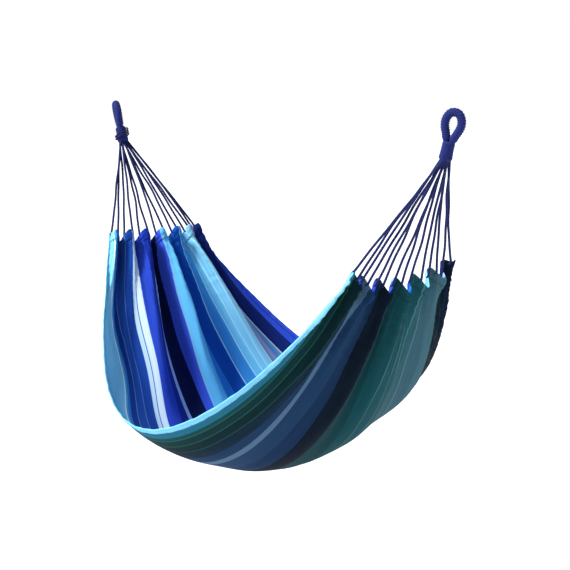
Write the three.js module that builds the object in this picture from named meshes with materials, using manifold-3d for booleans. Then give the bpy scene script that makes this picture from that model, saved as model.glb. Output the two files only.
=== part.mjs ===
// Gathered-end fabric hammock, hung up and empty: a striped cloth bed whose two ends are
// gathered on cord loops, which run up into a served eye at each end.
// Millimetres, +Z up, +X from the left eye to the right eye, -Y the near side.
// The origin is the spot inside the left eye's crown where its hook bears.

import * as THREE from 'three';
import { mergeVertices } from 'three/addons/utils/BufferGeometryUtils.js';
import Module from 'manifold-3d';

const wasm = await Module();
wasm.setup();

// ---- Driving dimensions -------------------------------------------------------------

const GAP = 1.0;                  // between two sewn pieces of cloth
const FIT = 0.4;                  // round a cord in its tunnel, and round a wrapped core

const HOOK_SPAN = 1751;           // from one eye's bearing spot to the other's
const EYE_HEIGHT = 80;            // from the bearing spot down to the eye's feet
const NECK_LENGTH = 136;          // from the bearing spot down to the pivot under the neck

const CORE_RADIUS = 9;            // the bundled cords that bend round the eye
const SERVING_RADIUS = 13.8;      // over the thin cord wound round them
const STEM_RADIUS = 18;           // the core's two legs bound together
const STEM_BORE_RADIUS = 18.5;
const STEM_TOP = 86;              // below the bearing spot
const EYE_STEPS = 30;             // rings along the eye's loop
const ROUTE_SIDES = 10;           // flats round the eye's core and serving
const TUBE_SIDES = 24;            // flats round the neck's upright parts
const SERVING_START = 4;          // rings left bare at each foot
const WHIPPING_RADIUS = 22.5;     // at its lower end, from which it tapers
const WHIPPING_TOP_RADIUS = 20.5;
const WHIPPING_TOP = 84;          // below the bearing spot
const SOCKET_RADIUS = 24;         // hollow under the whipping, round the pivot
const BALL_RADIUS = 22.5;         // the cords' domed tops, inside that hollow
const SEAT_LENGTH = 12;           // side of the square tool that presses the seat flat
const SEAT_DEPTH = 1;

const CORD_RADIUS = 3;
const LOOPS_PER_END = 7;
const LEG_SPACING_AT_NECK = 2.6;  // along Y, from one leg to the next
const ROW_SPACING_AT_NECK = 6.3;  // between the three rows that the legs stand in
const LOOP_SHARE = 0.56;          // of a loop's share of the hem, how much lies between its legs
const LOOP_DEPTH = 24;            // how far a loop reaches into the end hem
const CORD_SIDES = 8;
const TURN_STEPS = 6;             // round the half turn at a loop's bottom

const TIE_RADIUS = 2.6;
const TIE_TURNS = 2.25;
const TIE_TOP = 98;               // below the bearing spot, like the next
const TIE_BOTTOM = 120;
const TIE_SLANT = 9;              // how far each turn dips on the neck's low side
const TIE_LOW_SIDE = 229;         // degrees round from +X to that side
const TIE_SLACK = 1;              // between the tie and the whipping
const TIE_STEPS = 54;
const TIE_SIDES = 6;

const CLOTH_THICKNESS = 3;
const END_HEM_HEIGHT = 45;
const END_HEM_THICKNESS = 12;
const SIDE_HEM_SHARE = 0.05;      // of the bed's half width, what a side hem takes
const SIDE_HEM_THICKNESS = 8;
const BED_STEPS_ALONG = 24;
const BED_STEPS_ACROSS = 14;
const END_HEM_STEPS = 21;         // across, three to each cord loop

// The bed's shape: a catenary down its length, and a curled trough across it.
const CATENARY = 0.86;
const SAG_AT_CENTRE = 762;
const SAG_AT_RIM = 563;
const CUP_POWER = 1.5;
const CURL = 1.15;
const MIDDLE_HALF_WIDTH = 561;
const SPREAD = 1.135;

// Each end: which way is outwards, how far its neck leans from plumb, how far its eye is
// turned about the neck, and where the gathered cloth starts at its centre and corners.
const LEFT = {
  name: 'left', eyeX: 0, inward: 1, lean: 18.3, turn: -28,
  centre: { x: 259, z: -454 }, corner: { x: 222, z: -456 }, halfWidth: 201,
};
const RIGHT = {
  name: 'right', eyeX: HOOK_SPAN, inward: -1, lean: 15.9, turn: 25,
  centre: { x: 1532, z: -526 }, corner: { x: 1553, z: -469 }, halfWidth: 228,
};

const WRAPPED_CORD = { color: 0x2a3a9a, roughness: 0.75 };
const CLEW_CORD = { color: 0x1f2c78, roughness: 0.8 };
const STRIPED_CLOTH = { color: 0x3f86c8, roughness: 0.9 };
const HEM_CLOTH = { color: 0x58b4dc, roughness: 0.9 };

// ---- Small helpers ------------------------------------------------------------------

const { lerp, degToRad } = THREE.MathUtils;
const hammock = new THREE.Group();

function add(name, geometry, look) {
  const material = new THREE.MeshStandardMaterial({ ...look, metalness: 0 });
  const mesh = new THREE.Mesh(geometry, material);
  mesh.name = name;
  hammock.add(mesh);
}

function toSolid(geometry) {
  const bare = geometry.clone();
  bare.deleteAttribute('normal');
  bare.deleteAttribute('uv');
  const merged = mergeVertices(bare, 1e-3);
  return new wasm.Manifold(new wasm.Mesh({
    numProp: 3,
    vertProperties: new Float32Array(merged.attributes.position.array),
    triVerts: new Uint32Array(merged.index.array),
  }));
}

function toGeometry(solid) {
  const { vertProperties, triVerts } = solid.getMesh();
  const geometry = new THREE.BufferGeometry();
  geometry.setAttribute('position', new THREE.BufferAttribute(vertProperties, 3));
  geometry.setIndex(new THREE.BufferAttribute(triVerts, 1));
  geometry.computeVertexNormals();
  return geometry;
}

// Moves every vertex of a geometry to where place(x, y, z) puts it.
function reshape(geometry, place) {
  const position = geometry.attributes.position;
  for (let i = 0; i < position.count; i++) {
    const to = place(position.getX(i), position.getY(i), position.getZ(i));
    position.setXYZ(i, to.x, to.y, to.z);
  }
  geometry.computeVertexNormals();
  return geometry;
}

// A round rod through a list of points: a straight cylinder, bent ring by ring. The rings
// are carried along the route without twisting.
function bentRod(points, radius, sides) {
  const last = points.length - 1;
  const tangents = points.map((point, i) => {
    const before = points[Math.max(i - 1, 0)];
    const after = points[Math.min(i + 1, last)];
    return after.clone().sub(before).normalize();
  });
  const upright = Math.abs(tangents[0].z) > 0.9;
  const helper = upright ? new THREE.Vector3(1, 0, 0) : new THREE.Vector3(0, 0, 1);
  let normal = helper.cross(tangents[0]).normalize();
  const frames = tangents.map((tangent) => {
    normal = normal.clone().addScaledVector(tangent, -normal.dot(tangent)).normalize();
    return { normal, binormal: normal.clone().cross(tangent) };
  });
  const cylinder = new THREE.CylinderGeometry(1, 1, last, sides, last);
  return reshape(cylinder, (x, y, z) => {
    const ring = Math.round(y + last / 2);
    return points[ring].clone()
      .addScaledVector(frames[ring].normal, radius * x)
      .addScaledVector(frames[ring].binormal, radius * z);
  });
}

// ---- The bed's surface --------------------------------------------------------------
// along runs from 0 at the left gather to 1 at the right one, across from -1 at the near
// rim to 1 at the far rim.

function hemHeightAndReach(end, across) {
  return {
    x: lerp(end.centre.x, end.corner.x, across * across),
    z: lerp(end.centre.z, end.corner.z, across * across),
  };
}

function bedPoint(along, across) {
  const left = hemHeightAndReach(LEFT, across);
  const right = hemHeightAndReach(RIGHT, across);
  const rise = Math.cosh(CATENARY) - 1;
  const hang = (Math.cosh(CATENARY * (2 * along - 1)) - Math.cosh(CATENARY)) / rise;
  const sag = lerp(SAG_AT_CENTRE, SAG_AT_RIM, Math.abs(across) ** CUP_POWER);
  const gathered = lerp(LEFT.halfWidth, RIGHT.halfWidth, along);
  const opening = Math.max(4 * along * (1 - along), 0) ** SPREAD;
  const halfWidth = lerp(gathered, MIDDLE_HALF_WIDTH, opening);
  return new THREE.Vector3(
    lerp(left.x, right.x, along),
    halfWidth * Math.sin(CURL * across) / Math.sin(CURL),
    lerp(left.z, right.z, along) + sag * hang,
  );
}

function bedNormal(along, across) {
  const step = 1e-3;
  const lengthwise = bedPoint(along + step, across).sub(bedPoint(along - step, across));
  const crosswise = bedPoint(along, across + step).sub(bedPoint(along, across - step));
  return lengthwise.cross(crosswise).normalize();
}

// How much of along a millimetre takes at an end of the bed.
const ALONG_PER_MM = 0.01 / bedPoint(0, 0).distanceTo(bedPoint(0.01, 0));
const HEM_EDGE = END_HEM_HEIGHT * ALONG_PER_MM;
const SEAM = GAP * ALONG_PER_MM;
const RIM_SEAM = GAP / LEFT.halfWidth;

// A piece of cloth that follows the bed between two places along it and two across it.
function clothPiece(alongRange, acrossRange, thickness, alongSteps, acrossSteps) {
  const slab = new THREE.BoxGeometry(1, 1, 1, alongSteps, acrossSteps, 1);
  return reshape(slab, (x, y, z) => {
    const along = lerp(...alongRange, x + 0.5);
    const across = lerp(...acrossRange, y + 0.5);
    return bedPoint(along, across).addScaledVector(bedNormal(along, across), z * thickness);
  });
}

function makeBed() {
  const inner = [HEM_EDGE + SEAM, 1 - HEM_EDGE - SEAM];
  const rim = 1 - SIDE_HEM_SHARE;
  const betweenHems = [RIM_SEAM - rim, rim - RIM_SEAM];
  const middle = clothPiece(inner, betweenHems, CLOTH_THICKNESS, BED_STEPS_ALONG, BED_STEPS_ACROSS);
  add('bed_fabric', middle, STRIPED_CLOTH);
  const sides = { near: [-1, -rim], far: [rim, 1] };
  for (const [name, range] of Object.entries(sides)) {
    const hem = clothPiece(inner, range, SIDE_HEM_THICKNESS, BED_STEPS_ALONG, 1);
    add(`${name}_side_hem`, hem, HEM_CLOTH);
  }
}

// ---- One end's cord loops and the hem that they gather -------------------------------

// The neck's own directions: down the neck, and across it in the hammock's long plane.
function neckFrame(end) {
  const lean = degToRad(end.lean);
  const down = new THREE.Vector3(end.inward * Math.sin(lean), 0, -Math.cos(lean));
  const outward = new THREE.Vector3(-Math.cos(lean), 0, -end.inward * Math.sin(lean));
  const seat = new THREE.Vector3(end.eyeX, 0, 0);
  return { down, outward, seat, pivot: seat.clone().addScaledVector(down, NECK_LENGTH) };
}

// A spot in the end hem: how far below its edge, and where across the bed.
function hemPoint(end, depth, across) {
  const along = depth * ALONG_PER_MM;
  return bedPoint(end.inward > 0 ? along : 1 - along, across);
}

// A leg's two upper points: its domed top inside the socket, and where it starts to fan.
function legTop(end, leg) {
  const { down, outward, pivot } = neckFrame(end);
  const sideways = (leg - LOOPS_PER_END + 0.5) * LEG_SPACING_AT_NECK;
  const row = (leg % 3 - 1) * ROW_SPACING_AT_NECK;
  const fanning = pivot.clone().addScaledVector(outward, row).setY(sideways);
  const reach = Math.hypot(sideways, row) + CORD_RADIUS;
  const rise = Math.sqrt(BALL_RADIUS ** 2 - reach ** 2);
  return [fanning.clone().addScaledVector(down, -rise), fanning];
}

// Loop 0 is at the near rim. Its two legs run down into the hem and meet in a half round.
function loopRoute(end, loop) {
  const share = 2 / LOOPS_PER_END;
  const middle = (loop + 0.5) * share - 1;
  const halfLoop = share * LOOP_SHARE / 2;
  const turn = [];
  for (let i = 0; i <= TURN_STEPS; i++) {
    const angle = Math.PI * i / TURN_STEPS;
    const depth = LOOP_DEPTH * Math.sin(angle);
    turn.push(hemPoint(end, depth, middle - halfLoop * Math.cos(angle)));
  }
  return [...legTop(end, 2 * loop), ...turn, ...legTop(end, 2 * loop + 1).reverse()];
}

function makeCordsAndHem(end) {
  const alongRange = end.inward > 0 ? [0, HEM_EDGE] : [1 - HEM_EDGE, 1];
  let hem = toSolid(clothPiece(alongRange, [-1, 1], END_HEM_THICKNESS, 1, END_HEM_STEPS));
  for (let loop = 0; loop < LOOPS_PER_END; loop++) {
    const route = loopRoute(end, loop);
    add(`${end.name}_clew_cord_${loop + 1}`, bentRod(route, CORD_RADIUS, CORD_SIDES), CLEW_CORD);
    hem = hem.subtract(toSolid(bentRod(route, CORD_RADIUS + FIT, CORD_SIDES)));
  }
  add(`${end.name}_end_hem`, toGeometry(hem), HEM_CLOTH);
}

// ---- One end's eye and neck ----------------------------------------------------------
// Built hanging straight down from the bearing spot, in the XZ plane, and then leaned.

// Half of the eye's centre line, from the crown's middle down to one foot.
function eyeHalf(side) {
  const crown = -SERVING_RADIUS + SEAT_DEPTH;
  const shoulders = [[0, crown], [12, crown + 3], [21, 1], [26, 18]];
  const flanks = [[23.5, 38], [15.5, 58], [9.2, EYE_HEIGHT], [9.2, STEM_TOP + 6]];
  return [...shoulders, ...flanks].map(([x, below]) => new THREE.Vector3(side * x, 0, -below));
}

function eyeRoute(bareRings) {
  const points = [...eyeHalf(-1).reverse(), ...eyeHalf(1).slice(1)];
  const curve = new THREE.CatmullRomCurve3(points);
  return curve.getSpacedPoints(EYE_STEPS).slice(bareRings, EYE_STEPS + 1 - bareRings);
}

// Leans a piece with its neck, turns it about the neck and sets it on its bearing spot.
function placeOnNeck(end, geometry, turned) {
  if (turned) geometry.rotateZ(degToRad(end.turn));
  geometry.rotateY(-end.inward * degToRad(end.lean));
  return geometry.translate(end.eyeX, 0, 0);
}

function uprightCylinder(topRadius, bottomRadius, top, bottom) {
  const cylinder = new THREE.CylinderGeometry(topRadius, bottomRadius, bottom - top, TUBE_SIDES);
  return toSolid(cylinder.rotateX(Math.PI / 2).translate(0, 0, -(top + bottom) / 2));
}

function pivotSphere() {
  const sphere = new THREE.SphereGeometry(SOCKET_RADIUS, 16, 12);
  return toSolid(sphere.rotateX(Math.PI / 2).translate(0, 0, -NECK_LENGTH));
}

function makeEye(end) {
  const wholeRoute = eyeRoute(0);
  const stem = uprightCylinder(STEM_RADIUS, STEM_RADIUS, STEM_TOP, NECK_LENGTH);
  const core = toSolid(bentRod(wholeRoute, CORE_RADIUS, ROUTE_SIDES)).add(stem).subtract(pivotSphere());
  add(`${end.name}_eye_loop`, placeOnNeck(end, toGeometry(core), true), WRAPPED_CORD);

  const seatTool = new THREE.BoxGeometry(SEAT_LENGTH, SEAT_LENGTH, SEAT_LENGTH);
  seatTool.translate(0, 0, -SEAT_LENGTH / 2);
  const serving = toSolid(bentRod(eyeRoute(SERVING_START), SERVING_RADIUS, ROUTE_SIDES))
    .subtract(toSolid(bentRod(wholeRoute, CORE_RADIUS + FIT, ROUTE_SIDES)))
    .subtract(toSolid(seatTool));
  add(`${end.name}_eye_serving`, placeOnNeck(end, toGeometry(serving), true), WRAPPED_CORD);

  const whipping = uprightCylinder(WHIPPING_TOP_RADIUS, WHIPPING_RADIUS, WHIPPING_TOP, NECK_LENGTH)
    .subtract(uprightCylinder(STEM_BORE_RADIUS, STEM_BORE_RADIUS, WHIPPING_TOP - GAP, NECK_LENGTH + GAP))
    .subtract(pivotSphere());
  add(`${end.name}_neck_whipping`, placeOnNeck(end, toGeometry(whipping), false), WRAPPED_CORD);
}

// The loose cord tied round the left neck: two slanting turns and a short tail.
function makeTie(end) {
  const radius = WHIPPING_RADIUS + TIE_SLACK + TIE_RADIUS;
  const route = [];
  for (let i = 0; i <= TIE_STEPS; i++) {
    const turned = 2 * Math.PI * TIE_TURNS * i / TIE_STEPS;
    const dip = TIE_SLANT * Math.cos(turned - degToRad(TIE_LOW_SIDE));
    const below = lerp(TIE_TOP, TIE_BOTTOM, i / TIE_STEPS) + dip;
    route.push(new THREE.Vector3(radius * Math.cos(turned), radius * Math.sin(turned), -below));
  }
  add(`${end.name}_tie_cord`, placeOnNeck(end, bentRod(route, TIE_RADIUS, TIE_SIDES), false), CLEW_CORD);
}

// ---- The whole hammock ---------------------------------------------------------------

makeBed();
for (const end of [LEFT, RIGHT]) {
  makeCordsAndHem(end);
  makeEye(end);
}
makeTie(LEFT);

export default hammock;
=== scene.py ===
"""A striped cloth hammock with gathered ends, hung by two cord-wrapped eyes, empty.

Metres, +Z up, +X from the left eye to the right eye, -Y the near side. The bed, its hems, the
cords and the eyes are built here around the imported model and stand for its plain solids.
"""

import math

import bpy
import numpy as np
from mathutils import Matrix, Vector


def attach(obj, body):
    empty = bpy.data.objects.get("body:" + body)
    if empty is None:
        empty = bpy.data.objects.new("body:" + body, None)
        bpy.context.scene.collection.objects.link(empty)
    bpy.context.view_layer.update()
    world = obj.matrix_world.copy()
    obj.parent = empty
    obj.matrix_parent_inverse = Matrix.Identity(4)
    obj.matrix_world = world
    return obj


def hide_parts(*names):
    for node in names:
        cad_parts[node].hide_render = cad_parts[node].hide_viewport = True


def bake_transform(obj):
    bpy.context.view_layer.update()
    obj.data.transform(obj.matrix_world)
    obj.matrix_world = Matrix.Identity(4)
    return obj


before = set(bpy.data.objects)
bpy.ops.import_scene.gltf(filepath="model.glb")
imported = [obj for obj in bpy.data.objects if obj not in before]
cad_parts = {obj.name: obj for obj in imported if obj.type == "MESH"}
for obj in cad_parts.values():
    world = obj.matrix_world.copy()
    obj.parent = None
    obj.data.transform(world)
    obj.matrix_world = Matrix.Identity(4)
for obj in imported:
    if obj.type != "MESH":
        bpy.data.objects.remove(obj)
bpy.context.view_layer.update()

# ---- Sizes and places, the model's own ------------------------------------------------

HOOK_SPAN = 1.751
EYE_HEIGHT = 0.080
NECK_LENGTH = 0.136
WHIPPING_TOP = 0.084
WHIPPING_RADIUS = 0.0225
WHIPPING_TOP_RADIUS = 0.0205
SERVING_RADIUS = 0.0138

CORD_RADIUS = 0.003
CORD_LAY = 0.016                  # along a cord, one full turn of its strands
LOOPS_PER_END = 7
LEG_SPACING_AT_NECK = 0.0026
ROW_SPACING_AT_NECK = 0.0063
LOOP_SHARE = 0.56
LOOP_DEPTH = 0.024

TIE_RADIUS = 0.0026
TIE_TURNS = 2.25
TIE_TOP = 0.098
TIE_BOTTOM = 0.120
TIE_SLANT = 0.009
TIE_LOW_SIDE = math.radians(229)
TIE_SLACK = 0.001

CATENARY = 0.86
SAG_AT_CENTRE = 0.762
SAG_AT_RIM = 0.563
CUP_POWER = 1.5
CURL = 1.15
MIDDLE_HALF_WIDTH = 0.561
SPREAD = 1.135

END_HEM_HEIGHT = 0.045
SIDE_HEM_SHARE = 0.05

LEFT = dict(
    name="left", eye_x=0.0, inward=1, lean=math.radians(18.3), turn=math.radians(-28),
    centre=(0.259, -0.454), corner=(0.222, -0.456), half_width=0.201,
)
RIGHT = dict(
    name="right", eye_x=HOOK_SPAN, inward=-1, lean=math.radians(15.9), turn=math.radians(25),
    centre=(1.532, -0.526), corner=(1.553, -0.469), half_width=0.228,
)

# ---- Sizes of the looks ---------------------------------------------------------------

CLOTH_WIDTH = 1.24
CLOTH_THICKNESS = 0.0012
YARN_PITCH = 0.0016               # of the weave, over one yarn and under the next
BED_STEPS = (260, 308)            # along the bed, across it

PLEAT_DEPTH = 0.029               # of the gathers at the hem, each way from the bed's surface
PLEAT_REACH = 0.36                # how far from the hem they run before they fade
RIDGE_HEIGHT = 0.078              # of the broad ridges that they merge into
RIDGE_MIDDLE = 0.40               # how far from the hem the ridges are highest
RIDGE_REACH = 0.33                # how far each way from there they run
RIDGES = ((-0.40, 0.12), (0.03, 0.11), (0.50, 0.17))    # each one's place across, and half width
FOLD_DEPTH = 0.010                # of the loose folds all over the ends
FOLD_REACH = 0.60
FINE_FOLD_DEPTH = 0.0034
FINE_FOLD_REACH = 0.5
CREASE_DEPTH = 0.0015             # of the short creases near the hems
CREASE_REACH = 0.3
PUCKER_DEPTH = 0.0008             # of the side hems' puckers
PUCKER_WIDTH = 0.022              # how far in from the rim they run
HEM_SINK_HEIGHT = 0.08            # how far below a hem its edge's rise and fall dies away
RIM_ROLL = 0.13                   # of the cloth's width, how far the near rim's stripes shift inward, as though it rolled over itself
ROLL_PLACE = (0.62, 0.20)         # how far from the left hem it does so, and over how much
HEM_DROP = 0.048                  # how far the hem's edge sinks between two gathers
LEGS_TOGETHER = 0.45              # of their spread, how far apart a loop's legs run at the neck
LEG_SLACK = 0.0022                # how far a leg wavers off its straight line
SWELL = 0.0014                    # how much fuller the soft cords are than their plain rods

FLOOR_HEIGHT = -2.0


# ---- Mesh helpers ---------------------------------------------------------------------

def new_object(name, vertices, faces, uvs=None, smooth=True):
    """An object from arrays: vertices (n, 3), faces as lists, and a uv for each vertex."""
    mesh = bpy.data.meshes.new(name)
    mesh.from_pydata([tuple(v) for v in np.asarray(vertices, float)], [], [tuple(f) for f in faces])
    if uvs is not None:
        layer = mesh.uv_layers.new(name="cloth")
        corners = np.empty(len(mesh.loops), dtype=np.int32)
        mesh.loops.foreach_get("vertex_index", corners)
        layer.data.foreach_set("uv", np.asarray(uvs, np.float32)[corners].ravel())
    mesh.polygons.foreach_set("use_smooth", [smooth] * len(mesh.polygons))
    mesh.update()
    obj = bpy.data.objects.new(name, mesh)
    bpy.context.scene.collection.objects.link(obj)
    return obj


def grid_faces(rows, columns, closed=False):
    """Quads of a grid of vertices. A closed grid joins its last column to its first."""
    strips = columns if closed else columns - 1
    row, column = np.meshgrid(np.arange(rows - 1), np.arange(strips), indexing="ij")
    after = (column + 1) % columns
    here, below = row * columns, (row + 1) * columns
    return np.stack([here + column, below + column, below + after, here + after], -1).reshape(-1, 4)


def unit(vectors):
    return vectors / np.maximum(np.linalg.norm(vectors, axis=-1, keepdims=True), 1e-12)


def resample(points, step):
    """The same route with a point about every step metres."""
    points = np.asarray(points, float)
    lengths = np.r_[0, np.cumsum(np.linalg.norm(np.diff(points, axis=0), axis=1))]
    count = max(int(lengths[-1] / step), 8) + 1
    at = np.linspace(0, lengths[-1], count)
    return np.stack([np.interp(at, lengths, points[:, i]) for i in range(3)], -1), at


def smooth_curve(points, per_span=12):
    """A Catmull-Rom curve through the points."""
    p = np.asarray(points, float)
    p = np.vstack([2 * p[0] - p[1], p, 2 * p[-1] - p[-2]])
    t = np.linspace(0, 1, per_span, endpoint=False)[:, None]
    spans = []
    for a, b, c, d in zip(p, p[1:], p[2:], p[3:]):
        linear = b + t * (c - a) / 2
        square = t**2 * (a - 2.5 * b + 2 * c - d / 2)
        cube = t**3 * (1.5 * (b - c) + (d - a) / 2)
        spans.append(linear + square + cube)
    return np.vstack(spans + [p[-2:-1]])


def carried_frames(points):
    """Two directions across the route at each point, carried along without twisting."""
    tangents = unit(np.gradient(points, axis=0))
    start = np.array([0.0, 0.0, 1.0]) if abs(tangents[0][2]) < 0.9 else np.array([1.0, 0.0, 0.0])
    normals = [unit(np.cross(tangents[0], start))]
    for tangent in tangents[1:]:
        previous = normals[-1]
        normals.append(unit(previous - tangent * (previous @ tangent)))
    normals = np.array(normals)
    return normals, np.cross(tangents, normals)


def swept_rod(name, points, radius_at, sides):
    """A closed rod along the points. radius_at(ring distances, angles) gives its profile."""
    rings = np.asarray(points, float)
    at = np.r_[0, np.cumsum(np.linalg.norm(np.diff(rings, axis=0), axis=1))]
    normals, binormals = carried_frames(rings)
    angles = np.linspace(0, 2 * math.pi, sides, endpoint=False)
    radius = radius_at(at[:, None], angles[None, :])[..., None]
    cosines, sines = np.cos(angles)[None, :, None], np.sin(angles)[None, :, None]
    across = normals[:, None] * cosines + binormals[:, None] * sines
    vertices = (rings[:, None] + radius * across).reshape(-1, 3)
    faces = grid_faces(len(rings), sides, closed=True).tolist()
    faces.append(list(range(sides)))
    faces.append([(len(rings) - 1) * sides + i for i in reversed(range(sides))])
    turn_share = np.broadcast_to(angles[None, :] / (2 * math.pi), (len(rings), sides))
    uvs = np.stack([np.broadcast_to(at[:, None], turn_share.shape), turn_share], -1).reshape(-1, 2)
    return new_object(name, vertices, faces, uvs)


def laid_rope(name, points, radius, pitch, step=0.003, strands=3, sides=12):
    """A twisted rope: its strands show as lobes that wind along it."""
    route, _ = resample(points, step)

    def profile(at, angle):
        lobes = np.abs(np.sin(strands / 2 * (angle - 2 * math.pi * at / pitch)))
        return radius * (0.84 + 0.16 * lobes)

    return swept_rod(name, route, profile, sides)


def served_profile(radius, thread, length, foot):
    """A profile with a thin cord wound closely round it, drawn in over a foot's length at both ends."""
    def profile(at, angle):
        winding = np.abs(np.sin(math.pi * at / thread + angle * 1.5))
        drawn_in = np.clip(np.minimum(at, length - at) / foot, 0, 1)
        return (radius - 0.3 * thread * (1 - winding)) * (0.55 + 0.45 * drawn_in)
    return profile


# ---- The bed's surface ----------------------------------------------------------------
# along runs from 0 at the left gather to 1 at the right one, across from -1 at the near rim to 1.

def mix(a, b, t):
    return a + (b - a) * t


def bed_surface(along, across):
    """The plain surface of the hung bed, without its gathers."""
    across_2 = across**2
    left_x = mix(LEFT["centre"][0], LEFT["corner"][0], across_2)
    left_z = mix(LEFT["centre"][1], LEFT["corner"][1], across_2)
    right_x = mix(RIGHT["centre"][0], RIGHT["corner"][0], across_2)
    right_z = mix(RIGHT["centre"][1], RIGHT["corner"][1], across_2)
    hang = (np.cosh(CATENARY * (2 * along - 1)) - math.cosh(CATENARY)) / (math.cosh(CATENARY) - 1)
    sag = mix(SAG_AT_CENTRE, SAG_AT_RIM, np.abs(across) ** CUP_POWER)
    gathered = mix(LEFT["half_width"], RIGHT["half_width"], along)
    opening = np.maximum(4 * along * (1 - along), 0) ** SPREAD
    half_width = mix(gathered, MIDDLE_HALF_WIDTH, opening)
    x = mix(left_x, right_x, along)
    y = half_width * np.sin(CURL * across) / math.sin(CURL)
    z = mix(left_z, right_z, along) + sag * hang
    return np.stack(np.broadcast_arrays(x, y, z), -1)


def surface_normal(along, across):
    step = 1e-3
    lengthwise = bed_surface(along + step, across) - bed_surface(along - step, across)
    crosswise = bed_surface(along, across + step) - bed_surface(along, across - step)
    return unit(np.cross(lengthwise, crosswise))


def centre_line():
    """Distances along the bed's centre line, and the along that each one belongs to."""
    along = np.linspace(0, 1, 800)
    points = bed_surface(along, np.zeros_like(along))
    return np.r_[0, np.cumsum(np.linalg.norm(np.diff(points, axis=0), axis=1))], along


LINE_DISTANCE, LINE_ALONG = centre_line()
LINE_LENGTH = float(LINE_DISTANCE[-1])


def along_at(distance):
    return np.interp(distance, LINE_DISTANCE, LINE_ALONG)


class Ripples:
    """A sum of a few seeded sine waves over the cloth: small uneven folds and creases."""

    def __init__(self, seed, count, along_wave, across_wave):
        random = np.random.default_rng(seed)
        self.along = 2 * math.pi / random.uniform(*along_wave, count) * random.choice([-1, 1], count)
        self.across = 2 * math.pi / random.uniform(*across_wave, count)
        self.phase = random.uniform(0, 2 * math.pi, count)

    def __call__(self, distance, width):
        waves = np.zeros(np.broadcast(distance, width).shape)
        for a, b, phase in zip(self.along, self.across, self.phase):
            waves = waves + np.sin(a * distance + b * width + phase)
        return waves / math.sqrt(len(self.phase))


long_folds = Ripples(3, 7, (0.9, 2.5), (0.10, 0.26))
fine_folds = Ripples(11, 9, (0.25, 0.7), (0.035, 0.09))
creases = Ripples(23, 9, (0.025, 0.06), (0.05, 0.30))
puckers = Ripples(41, 6, (0.035, 0.10), (0.4, 1.2))


def gathers(across):
    """1 on a gather's crest, where a cord loop holds the hem, down to -1 in the fold between two."""
    phase = LOOPS_PER_END * math.pi * (across + 1)
    return (2 * np.sqrt(np.sin(phase / 2) ** 2 + 0.03) - 1.03) * (1 - across**14)


def ridges(across):
    """The broad ridges across the cloth, 1 at each one's top and a little below 0 between them."""
    return sum(np.exp(-(((across - place) / half) ** 2)) for place, half in RIDGES) - 0.35


def cloth(distance, across):
    """The gathered cloth: a point for each distance along the bed's centre line and place across."""
    distance, across = np.broadcast_arrays(np.asarray(distance, float), np.asarray(across, float))
    from_hem = np.minimum(distance, LINE_LENGTH - distance)
    gather = gathers(across)
    near_hem = np.exp(-((from_hem / HEM_SINK_HEIGHT) ** 2))
    drop = HEM_DROP * (1 - gather) / 2 * near_hem * (1 - across**6)
    shifted = np.where(distance < LINE_LENGTH / 2, distance + drop, distance - drop)
    along = along_at(shifted)
    width = across * CLOTH_WIDTH / 2
    rim = np.exp(-(((1 - np.abs(across)) * CLOTH_WIDTH / 2 / PUCKER_WIDTH) ** 2))
    pleats = PLEAT_DEPTH * gather * np.exp(-((from_hem / PLEAT_REACH) ** 2))
    broad = RIDGE_HEIGHT * ridges(across) * np.exp(-(((from_hem - RIDGE_MIDDLE) / RIDGE_REACH) ** 2))
    broad = broad * (1 - across**8) * np.where(distance < LINE_LENGTH / 2, 1.0, 0.5)
    folds = FOLD_DEPTH * long_folds(distance, width) * np.exp(-((from_hem / FOLD_REACH) ** 2))
    folds = folds * (1 - across**8)
    fine = FINE_FOLD_DEPTH * fine_folds(distance, width) * np.exp(-((from_hem / FINE_FOLD_REACH) ** 2))
    crease = CREASE_DEPTH * creases(distance, width) * np.exp(-((from_hem / CREASE_REACH) ** 2))
    pucker = PUCKER_DEPTH * puckers(distance, width) * rim
    lift = pleats + (folds + broad) * (1 - near_hem) + fine + crease + pucker
    return bed_surface(along, across) + surface_normal(along, across) * lift[..., None]


def cloth_normal(distance, across):
    step = 2e-3
    lengthwise = cloth(distance + step, across) - cloth(distance - step, across)
    crosswise = cloth(distance, across + step) - cloth(distance, across - step)
    return unit(np.cross(lengthwise, crosswise))


def cloth_uv(distance, across):
    """Places on the flat cloth, the near rim's stripes shifted inward towards the left end as though the
    rim were rolled over itself.
    """
    distance, across = np.broadcast_arrays(distance, across)
    share = (across + 1) / 2
    place, reach = ROLL_PLACE
    rolled = RIM_ROLL * np.exp(-(((distance - place) / reach) ** 2)) * np.exp(-((share / 0.2) ** 2))
    return np.stack([distance, np.clip(share - rolled, 0, 1) * CLOTH_WIDTH], -1)


# ---- Materials ------------------------------------------------------------------------

def srgb(code):
    """A colour written the usual way, as the linear values that the shaders take."""
    parts = [int(code[i:i + 2], 16) / 255 for i in (0, 2, 4)]
    return tuple(c / 12.92 if c <= 0.04045 else ((c + 0.055) / 1.055) ** 2.4 for c in parts) + (1.0,)


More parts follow.
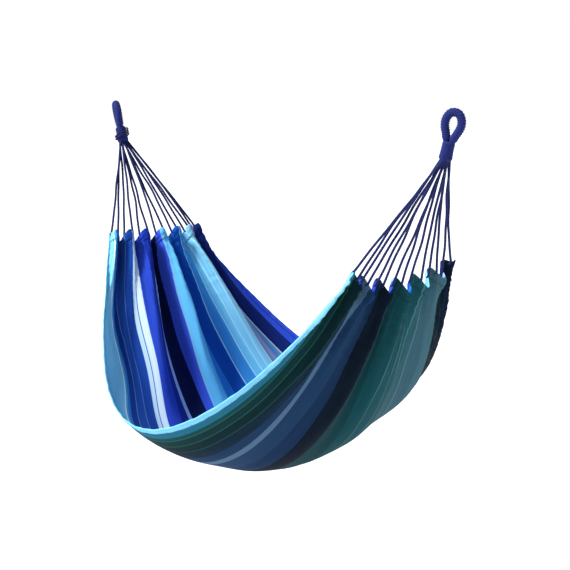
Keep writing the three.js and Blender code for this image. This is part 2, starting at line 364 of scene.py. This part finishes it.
class Shader:
    """A material's node tree, with short calls to add and join nodes."""

    def __init__(self, name):
        self.material = bpy.data.materials.new(name)
        self.material.use_nodes = True
        self.tree = self.material.node_tree
        self.principled = self.tree.nodes["Principled BSDF"]

    def node(self, kind, **settings):
        node = self.tree.nodes.new(kind)
        for key, value in settings.items():
            setattr(node, key, value)
        return node

    def join(self, source, target):
        self.tree.links.new(source, target)

    def math(self, operation, first, second=None):
        node = self.node("ShaderNodeMath", operation=operation)
        for socket, value in zip(node.inputs, (first, second)):
            if isinstance(value, bpy.types.NodeSocket):
                self.join(value, socket)
            elif value is not None:
                socket.default_value = value
        return node.outputs[0]

    def ramp(self, factor, stops, interpolation="LINEAR"):
        node = self.node("ShaderNodeValToRGB")
        node.color_ramp.interpolation = interpolation
        elements = node.color_ramp.elements
        elements[0].position, elements[0].color = stops[0][0], stops[0][1]
        elements.remove(elements[1])
        for position, colour in stops[1:]:
            elements.new(position).color = colour
        self.join(factor, node.inputs[0])
        return node.outputs[0]

    def blend_colour(self, mode, factor, first, second):
        node = self.node("ShaderNodeMix", data_type="RGBA", blend_type=mode)
        sockets = (node.inputs[0], node.inputs[6], node.inputs[7])
        for socket, value in zip(sockets, (factor, first, second)):
            if isinstance(value, bpy.types.NodeSocket):
                self.join(value, socket)
            else:
                socket.default_value = value
        return node.outputs[2]

    def bump(self, height, distance, strength=1.0, after=None):
        node = self.node("ShaderNodeBump")
        node.inputs["Distance"].default_value = distance
        node.inputs["Strength"].default_value = strength
        self.join(height, node.inputs["Height"])
        if after is not None:
            self.join(after, node.inputs["Normal"])
        return node.outputs[0]


# The stripes from the near rim to the far rim: where each one starts, as a share of the
# cloth's width, and its colour.
STRIPES = [
    (0.000, "86d6fa"), (0.058, "dcf6ff"), (0.065, "4aa6dc"), (0.078, "2f78cc"), (0.092, "0e3a8c"),
    (0.128, "5a80cc"), (0.132, "1a4aa2"), (0.173, "5478cc"), (0.177, "17429a"), (0.222, "b8d4e8"),
    (0.238, "4a78c0"), (0.242, "cfe2f2"), (0.262, "2a48c0"), (0.330, "162f98"), (0.374, "a4c0f0"),
    # The near-black band from 0.388 is painted shade: the shadow in the fold valley beside the royal
    # ridge, with the lit royal following at 0.452.
    (0.388, "081648"), (0.452, "3a58d8"), (0.478, "7ab8e6"), (0.484, "62bcee"), (0.545, "2a80dc"),
    (0.592, "1456b8"), (0.642, "a8dcf8"), (0.647, "3f98e4"), (0.690, "b4ecfc"), (0.695, "74ccf4"),
]
STRIPES_FAR = [
    (0.695, "74ccf4"), (0.722, "b8ecfc"), (0.726, "86d6f6"), (0.748, "c0f0fc"), (0.752, "8cd8f6"),
    (0.776, "c4ecf8"), (0.780, "8a8cbc"), (0.796, "7fb4e4"), (0.808, "9a98c8"), (0.818, "5f9ada"),
    # The navy band from 0.872 is painted shade: a fold's shadow beside the lit royal band along the far
    # rim.
    (0.864, "c0dcf6"), (0.872, "12276c"), (0.945, "3050c8"),
]
STRIPE_SPLIT = 0.70
# The under side's stripes: the cloth's own stripes painted darker and greener, as painted shade for the
# face turned away from the key.
NEAR_STRIPES_PAINTED_SHADE = [
    (0.000, "2a7a9a"), (0.050, "165058"), (0.066, "2f6a5c"), (0.070, "0d3a40"), (0.100, "28604f"),
    (0.104, "0a2c34"), (0.140, "255048"), (0.144, "0c2a3e"), (0.190, "173a60"), (0.234, "55769a"),
    (0.258, "1d4068"), (0.330, "16345a"), (0.380, "0b1a2c"), (0.440, "0f424a"), (0.540, "15505a"),
    (0.590, "4c8088"), (0.594, "1a5864"),
]
FAR_STRIPES_PAINTED_SHADE = [
    (0.594, "1a5864"), (0.650, "5a8c90"), (0.654, "235f6c"), (0.694, "5e9096"), (0.698, "2f6876"),
    (0.734, "6a969c"), (0.738, "3c6c7c"), (0.776, "6a969c"), (0.780, "436e80"), (0.830, "4c7888"),
    (0.868, "0a2834"), (0.940, "0c2038"),
]
UNDER_SPLIT = 0.62
SUN_SIDE = (STRIPES, STRIPES_FAR, STRIPE_SPLIT, (0.95, 0.98, 1.0, 1.0))
# The under side's gain of 0.76 darkens that copy further: more painted shade.
UNDER_FACE_PAINTED_SHADE = (NEAR_STRIPES_PAINTED_SHADE, FAR_STRIPES_PAINTED_SHADE, UNDER_SPLIT, (0.76, 0.76, 0.76, 1.0))


def striped_cloth(name, near_stripes, far_stripes, split_share, tint):
    """Yarn-dyed cotton: lengthwise stripes, slub streaks along the yarns and a plain weave. The under
    side's copy is painted shade: its stripes and gain are darker and greener.
    """
    shader = Shader(name)
    uv = shader.node("ShaderNodeUVMap", uv_map="cloth").outputs[0]
    split = shader.node("ShaderNodeSeparateXYZ")
    shader.join(uv, split.inputs[0])
    length, width = split.outputs[0], split.outputs[1]
    share = shader.math("DIVIDE", width, CLOTH_WIDTH)
    near = shader.ramp(share, [(p, srgb(c)) for p, c in near_stripes], "CONSTANT")
    far = shader.ramp(share, [(p, srgb(c)) for p, c in far_stripes], "CONSTANT")
    stripes = shader.blend_colour("MIX", shader.math("GREATER_THAN", share, split_share), near, far)

    stretched = shader.node("ShaderNodeCombineXYZ")
    shader.join(shader.math("MULTIPLY", length, 3.0), stretched.inputs[0])
    shader.join(shader.math("MULTIPLY", width, 260.0), stretched.inputs[1])
    slub = shader.node("ShaderNodeTexNoise")
    slub.inputs["Scale"].default_value = 1.0
    slub.inputs["Detail"].default_value = 3.0
    shader.join(stretched.outputs[0], slub.inputs["Vector"])
    thin_and_thick = [(0.3, (0.82, 0.82, 0.84, 1)), (0.7, (1.06, 1.06, 1.04, 1))]
    streaks = shader.ramp(slub.outputs["Fac"], thin_and_thick)
    streaked = shader.blend_colour("MULTIPLY", 1.0, stripes, streaks)
    # For the under side's copy the tint is a darkening: painted shade.
    tinted = shader.blend_colour("MULTIPLY", 1.0, streaked, tint)

    warp = shader.math("SINE", shader.math("MULTIPLY", width, 2 * math.pi / YARN_PITCH))
    weft = shader.math("SINE", shader.math("MULTIPLY", length, 2 * math.pi / YARN_PITCH))
    weave = shader.math("MULTIPLY", warp, weft)
    level = shader.math("MULTIPLY_ADD", weave, 0.5)
    woven = shader.ramp(level, [(0.0, (0.9, 0.9, 0.9, 1)), (1.0, (1, 1, 1, 1))])
    colour = shader.blend_colour("MULTIPLY", 0.6, tinted, woven)
    shader.join(colour, shader.principled.inputs["Base Color"])
    bumped = shader.bump(weave, 0.0002, 0.5)
    shader.join(shader.bump(slub.outputs["Fac"], 0.0006, 0.6, bumped), shader.principled.inputs["Normal"])
    shader.principled.inputs["Roughness"].default_value = 0.88
    shader.principled.inputs["Specular IOR Level"].default_value = 0.06
    shader.principled.inputs["Sheen Weight"].default_value = 0.01
    shader.principled.inputs["Sheen Roughness"].default_value = 0.5
    return shader.material


def cord_material(name, dark, light, thread, roughness=0.78):
    """Dyed cotton cord: fibres that wind round it, lighter on the strands' crowns."""
    shader = Shader(name)
    uv = shader.node("ShaderNodeUVMap", uv_map="cloth").outputs[0]
    split = shader.node("ShaderNodeSeparateXYZ")
    shader.join(uv, split.inputs[0])
    length, turn = split.outputs[0], split.outputs[1]
    wound = shader.math("ADD", shader.math("DIVIDE", length, thread), shader.math("MULTIPLY", turn, 6.0))
    strand = shader.math("ABSOLUTE", shader.math("SINE", shader.math("MULTIPLY", wound, math.pi)))
    place = shader.node("ShaderNodeTexCoord").outputs["Object"]
    fuzz = shader.node("ShaderNodeTexNoise")
    fuzz.inputs["Scale"].default_value = 420.0
    fuzz.inputs["Detail"].default_value = 4.0
    shader.join(place, fuzz.inputs["Vector"])
    level = shader.math("MULTIPLY_ADD", fuzz.outputs["Fac"], 0.7)
    level.node.inputs[2].default_value = 0.0
    shade = shader.math("MULTIPLY", shader.math("ADD", level, 0.25), shader.math("ADD", strand, 0.35))
    colour = shader.ramp(shade, [(0.1, srgb(dark)), (0.85, srgb(light))])
    shader.join(colour, shader.principled.inputs["Base Color"])
    bumped = shader.bump(strand, 0.0004, 0.7)
    shader.join(shader.bump(fuzz.outputs["Fac"], 0.0003, 0.6, bumped), shader.principled.inputs["Normal"])
    shader.principled.inputs["Roughness"].default_value = roughness
    shader.principled.inputs["Specular IOR Level"].default_value = 0.2
    shader.principled.inputs["Sheen Weight"].default_value = 0.04
    shader.principled.inputs["Sheen Roughness"].default_value = 0.45
    return shader.material


# The upper cloth, and a copy for the under faces that carries painted shade.
sunny_cloth = striped_cloth("striped_cloth_upper", *SUN_SIDE)
painted_shade_cloth = striped_cloth("striped_cloth_under_painted_shade", *UNDER_FACE_PAINTED_SHADE)
clew_material = cord_material("clew_cord", "04071e", "1d2a6c", 0.0016)
wrapped_material = cord_material("wrapped_cord", "040720", "213082", 0.0012)
tie_material = cord_material("tie_cord", "03051a", "1b2660", 0.0014)
thread_material = cord_material("stitch_thread", "0c1540", "243a86", 0.0008)


def finish_piece(obj, body, materials, nodes=()):
    """Gives a piece its materials, its body and the plain solids that it stands for."""
    for material in materials:
        obj.data.materials.append(material)
    if body:
        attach(obj, body)
    if nodes:
        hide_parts(*nodes)
    return obj


# ---- The cloth pieces -----------------------------------------------------------------

def make_bed():
    rows, columns = BED_STEPS
    distance = np.linspace(0.002, LINE_LENGTH - 0.002, rows + 1)[:, None]
    across = np.linspace(-0.995, 0.995, columns + 1)[None, :]
    points = cloth(distance, across).reshape(-1, 3)
    faces = grid_faces(rows + 1, columns + 1)
    bed = new_object("bed", points, faces, cloth_uv(distance, across).reshape(-1, 2))
    thick = bed.modifiers.new("thickness", "SOLIDIFY")
    thick.thickness = CLOTH_THICKNESS
    thick.offset = -1.0
    # The under face that the solidify adds takes the painted-shade copy of the cloth.
    thick.material_offset = 1
    thick.material_offset_rim = 0
    return finish_piece(bed, "sling", [sunny_cloth, painted_shade_cloth], ["bed_fabric"])


def folded_strip(name, distances, acrosses, half_thickness, two_sided):
    """A flat closed tube of cloth that follows the bed, with round edges.

    distances and acrosses are (n, m) arrays: n places along the strip, m over its width.
    half_thickness is its half thickness at each, nearly nothing at the two edges. A two sided
    strip shows the cloth's painted-shade copy, darker and greener, on its under face."""
    middle = cloth(distances, acrosses)
    normal = cloth_normal(distances, acrosses)
    upper = middle + normal * half_thickness[..., None]
    under = middle - normal * half_thickness[..., None]
    ring = np.concatenate([upper, under[:, ::-1]], axis=1)
    uv = cloth_uv(distances, acrosses)
    uv_ring = np.concatenate([uv, uv[:, ::-1]], axis=1)
    rows, columns = ring.shape[:2]
    faces = grid_faces(rows, columns, closed=True).tolist()
    faces.append(list(range(columns)))
    faces.append([(rows - 1) * columns + i for i in reversed(range(columns))])
    strip = new_object(name, ring.reshape(-1, 3), faces, uv_ring.reshape(-1, 2))
    strip.data.materials.append(sunny_cloth)
    strip.data.materials.append(painted_shade_cloth)
    half = columns // 2
    # A two sided strip's under face takes the painted-shade copy of the cloth.
    if two_sided:
        for index, polygon in enumerate(strip.data.polygons[:(rows - 1) * columns]):
            polygon.material_index = int(index % columns >= half)
    return strip


def rounded_profile(count, thickness, edge_share):
    """Half thicknesses over a strip's width: full inside, rounding off to its two edges."""
    place = np.linspace(0, 1, count)
    to_edge = np.minimum(np.minimum(place, 1 - place) / edge_share, 1)
    return thickness * np.sqrt(np.maximum(1 - (1 - to_edge) ** 2, 0.004))


def make_side_hem(name, side):
    width_steps = 10
    distance = np.linspace(0.012, LINE_LENGTH - 0.012, 560)[:, None]
    share = np.linspace(-0.004, SIDE_HEM_SHARE, width_steps)[None, :]
    across = side * (1 - share)
    if side < 0:
        across = across[:, ::-1]
    distance, across = np.broadcast_arrays(distance, across)
    thickness = rounded_profile(width_steps, 0.0026, 0.22)[None, :]
    plump = np.clip(1 + 0.2 * puckers(distance * 1.3, across * 0), 0.6, 1.5)
    strip = folded_strip(f"{name}_hem_strip", distance, across, thickness * plump, side > 0)
    if side > 0:
        strip.data.flip_normals()
    return finish_piece(strip, "sling", [], [f"{name}_side_hem"])


def hem_distance(end, below):
    return below if end["inward"] > 0 else LINE_LENGTH - below


def make_end_hem(end):
    height_steps = 16
    across = np.linspace(-1, 1, 421)[:, None]
    below = np.linspace(-0.001, END_HEM_HEIGHT, height_steps)[None, :]
    below, across = np.broadcast_arrays(below, across)
    crest = np.clip(gathers(across) / 2 + 0.5, 0, 1)
    cord_bulge = 0.0028 * crest * np.exp(-(((below - 0.019) / 0.010) ** 2))
    thickness = rounded_profile(height_steps, 0.0024, 0.12)[None, :] + cord_bulge
    strip = folded_strip(f"{end['name']}_hem_band", hem_distance(end, below), across, thickness, True)
    if end["inward"] > 0:
        strip.data.flip_normals()
    return finish_piece(strip, "sling", [], [f"{end['name']}_end_hem"])


# A stitch is a low pyramid on a diamond: its two ends, its top, and its two sides.
STITCH_FACES = ((0, 3, 2), (3, 1, 2), (1, 4, 2), (4, 0, 2), (0, 4, 1, 3))
STITCH_PITCH = 0.0080
STITCH_LENGTH = 0.0064
STITCH_HALF_WIDTH = 0.0013
STITCH_SINK = 0.0006              # how far its foot lies in the cloth


def stitch_line(distances, acrosses, height):
    """Small stitches laid end to end along a line on the cloth, height above its middle."""
    vertices, faces = [], []
    points = cloth(distances, acrosses)
    normals = cloth_normal(distances, acrosses)
    travelled = np.r_[0, np.cumsum(np.linalg.norm(np.diff(points, axis=0), axis=1))]
    length, half = STITCH_LENGTH, STITCH_HALF_WIDTH
    starts = np.arange(0, travelled[-1] - length, STITCH_PITCH)

    def at(place, data):
        return np.stack([np.interp(place, travelled, data[:, i]) for i in range(3)], -1)

    for sign in (1, -1):
        first, last = at(starts, points), at(starts + length, points)
        middle = at(starts + length / 2, points)
        up = unit(at(starts + length / 2, normals)) * sign
        side = unit(np.cross(unit(last - first), up))
        low = up * (height - STITCH_SINK)
        sides = [middle + side * half + low, middle - side * half + low]
        corners = [first + low, last + low, middle + up * (height + half), *sides]
        for group in zip(*corners):
            base = len(vertices)
            vertices.extend(group)
            faces.extend([tuple(base + corner for corner in face) for face in STITCH_FACES])
    return vertices, faces


def make_stitching():
    vertices, faces = [], []

    def sew(distances, acrosses, height):
        more_vertices, more_faces = stitch_line(distances, acrosses, height)
        base = len(vertices)
        vertices.extend(more_vertices)
        faces.extend([tuple(base + i for i in face) for face in more_faces])

    along_bed = np.linspace(0.05, LINE_LENGTH - 0.05, 700)
    for side in (-1, 1):
        sew(along_bed, np.full(700, side * (1 - SIDE_HEM_SHARE + 0.008)), 0.0028)
    over_bed = np.linspace(-0.99, 0.99, 900)
    for end in (LEFT, RIGHT):
        sew(np.full(900, hem_distance(end, END_HEM_HEIGHT - 0.003)), over_bed, 0.0026)
    stitches = new_object("hem_stitching", vertices, faces, np.zeros((len(vertices), 2)), smooth=False)
    return finish_piece(stitches, "sling", [thread_material])


# ---- The ends: cords, eyes, whippings and the tie ---------------------------------------

def neck_frame(end):
    """The way down the neck, the way across it in the long plane, and the pivot under it."""
    down = np.array([end["inward"] * math.sin(end["lean"]), 0, -math.cos(end["lean"])])
    outward = np.array([-math.cos(end["lean"]), 0, -end["inward"] * math.sin(end["lean"])])
    return down, outward, np.array([end["eye_x"], 0, 0]) + down * NECK_LENGTH


def on_neck(end, points, turned):
    """Leans points made hanging straight down with their neck, and sets them on its bearing spot."""
    points = np.asarray(points, float)
    if turned:
        c, s = math.cos(end["turn"]), math.sin(end["turn"])
        points = points @ np.array([[c, -s, 0], [s, c, 0], [0, 0, 1]]).T
    lean = -end["inward"] * end["lean"]
    c, s = math.cos(lean), math.sin(lean)
    return points @ np.array([[c, 0, s], [0, 1, 0], [-s, 0, c]]).T + np.array([end["eye_x"], 0, 0])


def leg_route(end, leg, random):
    """A leg from inside the whipping, out of it, and down to the hem, with a slight waver."""
    down, outward, pivot = neck_frame(end)
    sideways = (leg - LOOPS_PER_END + 0.5) * LEG_SPACING_AT_NECK
    row = (leg % 3 - 1) * ROW_SPACING_AT_NECK
    fan = pivot + outward * row + np.array([0, sideways, 0])
    loop, second = divmod(leg, 2)
    share = 2 / LOOPS_PER_END
    across = (loop + 0.5) * share - 1 + (share * LOOP_SHARE / 2) * (1 if second else -1)
    entry = cloth(hem_distance(end, 0.0), across).reshape(3)
    partner = cloth(hem_distance(end, 0.0), (loop + 0.5) * share - 1).reshape(3)
    t = np.linspace(0, 1, 40)[1:, None]
    parting = mix(LEGS_TOGETHER, 1, t**2)
    straight = fan + (partner - fan) * t + (entry - partner) * t * parting
    phase = random.uniform(0, 2 * math.pi, 4)
    waver = np.sin(2.0 * math.pi * t * 1.2 + phase[0]) + 0.6 * np.sin(2.0 * math.pi * t * 2.9 + phase[1])
    sway = np.array([math.cos(phase[2]), math.sin(phase[2]), 0.0])
    slack = LEG_SLACK * np.sin(math.pi * t) ** 0.7 * waver * sway
    return np.vstack([[fan - down * 0.016], [fan - down * 0.006], [fan], straight + slack]), across


def make_cord_loop(end, loop, random):
    first, from_across = leg_route(end, 2 * loop, random)
    second, to_across = leg_route(end, 2 * loop + 1, random)
    angle = np.linspace(0, math.pi, 14)[1:-1]
    middle, half = (from_across + to_across) / 2, (to_across - from_across) / 2
    turn = cloth(hem_distance(end, LOOP_DEPTH * np.sin(angle)), middle - half * np.cos(angle))
    route = np.vstack([first, turn, second[::-1]])
    rope = laid_rope(f"{end['name']}_clew_{loop + 1}", route, CORD_RADIUS + SWELL, CORD_LAY)
    finish_piece(rope, None, [clew_material], [f"{end['name']}_clew_cord_{loop + 1}"])
    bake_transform(rope)


CROWN = SERVING_RADIUS - 0.001
EYE_HALF = [(0, -CROWN), (0.012, 0.003 - CROWN), (0.021, 0.001), (0.026, 0.018), (0.0235, 0.038),
            (0.0155, 0.058), (0.0092, EYE_HEIGHT), (0.0092, 0.092)]


def make_eye(end):
    right = [(x, 0, -z) for x, z in EYE_HALF]
    left = [(-x, 0, -z) for x, z in EYE_HALF[:0:-1]]
    route, at = resample(smooth_curve(left + right), 0.0006)
    profile = served_profile(SERVING_RADIUS, 0.0075, at[-1], 0.025)
    eye = swept_rod(f"{end['name']}_eye", on_neck(end, route, True), profile, 28)
    nodes = [f"{end['name']}_eye_loop", f"{end['name']}_eye_serving"]
    return finish_piece(eye, f"{end['name']}_eye", [wrapped_material], nodes)


def make_whipping(end):
    """The cord wound round the neck: a barrel of turns that closes in on the bundle at both ends."""
    top, bottom = WHIPPING_TOP - 0.006, NECK_LENGTH + 0.002
    below = np.arange(top, bottom, 0.0005)
    route = np.stack([0 * below, 0 * below, -below], -1)
    thread = 0.0042

    def profile(at, angle):
        height = at / (bottom - top)
        closing = np.clip(np.minimum(height / 0.16, (1 - height) / 0.13), 0.0, 1.0)
        full = mix(WHIPPING_TOP_RADIUS, WHIPPING_RADIUS, height)
        swell = 0.62 + 0.38 * np.sqrt(1 - (1 - closing) ** 2)
        barrel = full * swell - 0.0012 * np.sin(math.pi * height)
        winding = np.abs(np.sin(math.pi * at / thread + angle / 2))
        return barrel - 0.38 * thread * (1 - winding)

    neck = swept_rod(f"{end['name']}_whipping", on_neck(end, route, False), profile, 64)
    nodes = [f"{end['name']}_neck_whipping"]
    return finish_piece(neck, "necks", [wrapped_material], nodes)


def make_tie(end):
    """The loose cord wound round the left neck in a little over two slanting turns."""
    radius = WHIPPING_RADIUS + TIE_SLACK + TIE_RADIUS
    turned = np.linspace(0, 2 * math.pi * TIE_TURNS, 160)
    below = np.linspace(TIE_TOP, TIE_BOTTOM, 160) + TIE_SLANT * np.cos(turned - TIE_LOW_SIDE)
    route = np.stack([radius * np.cos(turned), radius * np.sin(turned), -below], -1)
    tie = laid_rope("tie_cord", on_neck(end, route, False), TIE_RADIUS + SWELL / 2, 0.010, step=0.0015)
    return finish_piece(tie, "necks", [tie_material], [f"{end['name']}_tie_cord"])


# ---- Floor, light and camera ------------------------------------------------------------

def make_floor():
    size = 40.0
    floor = new_object("floor", [(-size, -size, 0), (size, -size, 0), (size, size, 0), (-size, size, 0)],
                       [(0, 1, 2, 3)])
    floor.location.z = FLOOR_HEIGHT
    shader = Shader("pale_floor")
    shader.principled.inputs["Base Color"].default_value = (0.88, 0.88, 0.88, 1)
    shader.principled.inputs["Roughness"].default_value = 0.95
    floor.data.materials.append(shader.material)


def make_sun(name, direction, spread, strength):
    data = bpy.data.lights.new(name, "SUN")
    data.angle = math.radians(spread)
    data.energy = strength
    light = bpy.data.objects.new(name, data)
    light.rotation_euler = Vector(direction).to_track_quat("Z", "Y").to_euler()
    bpy.context.scene.collection.objects.link(light)


def make_lights():
    """A soft key from high on the left, and a pale studio that shows brighter than it lights."""
    make_sun("key", (-0.30, -0.55, 0.78), 12, 5.6)
    world = bpy.data.worlds.new("studio")
    world.use_nodes = True
    nodes, links = world.node_tree.nodes, world.node_tree.links
    seen = nodes.new("ShaderNodeLightPath").outputs["Is Camera Ray"]
    strength = nodes.new("ShaderNodeMapRange")
    strength.inputs["To Min"].default_value = 0.36
    strength.inputs["To Max"].default_value = 1.0
    links.new(seen, strength.inputs["Value"])
    links.new(strength.outputs["Result"], nodes["Background"].inputs["Strength"])
    nodes["Background"].inputs["Color"].default_value = (1, 1, 1, 1)
    bpy.context.scene.world = world
    bpy.context.scene.view_settings.view_transform = "Standard"


def make_camera():
    azimuth, elevation, distance = math.radians(48.96), math.radians(7.1), 5.374
    back = Vector((math.sin(azimuth) * math.cos(elevation), -math.cos(azimuth) * math.cos(elevation),
                   math.sin(elevation)))
    centre = Vector((0.8748, 0, -0.5373))
    target = Vector((0.9266, 0.0471, -0.603))
    data = bpy.data.cameras.new("camera")
    data.sensor_width = 36.0
    data.lens = 97.1
    camera = bpy.data.objects.new("camera", data)
    bpy.context.scene.collection.objects.link(camera)
    camera.location = centre + back * distance
    camera.rotation_euler = (camera.location - target).to_track_quat("Z", "Y").to_euler()
    bpy.context.scene.camera = camera


# ---- The whole scene --------------------------------------------------------------------

make_camera()
make_floor()
make_lights()
bed = make_bed()
hems = [make_side_hem("near", -1), make_side_hem("far", 1), make_end_hem(LEFT), make_end_hem(RIGHT)]
stitching = make_stitching()
random = np.random.default_rng(7)
for end in (LEFT, RIGHT):
    for loop in range(LOOPS_PER_END):
        make_cord_loop(end, loop, random)
    make_eye(end)
    make_whipping(end)
make_tie(LEFT)
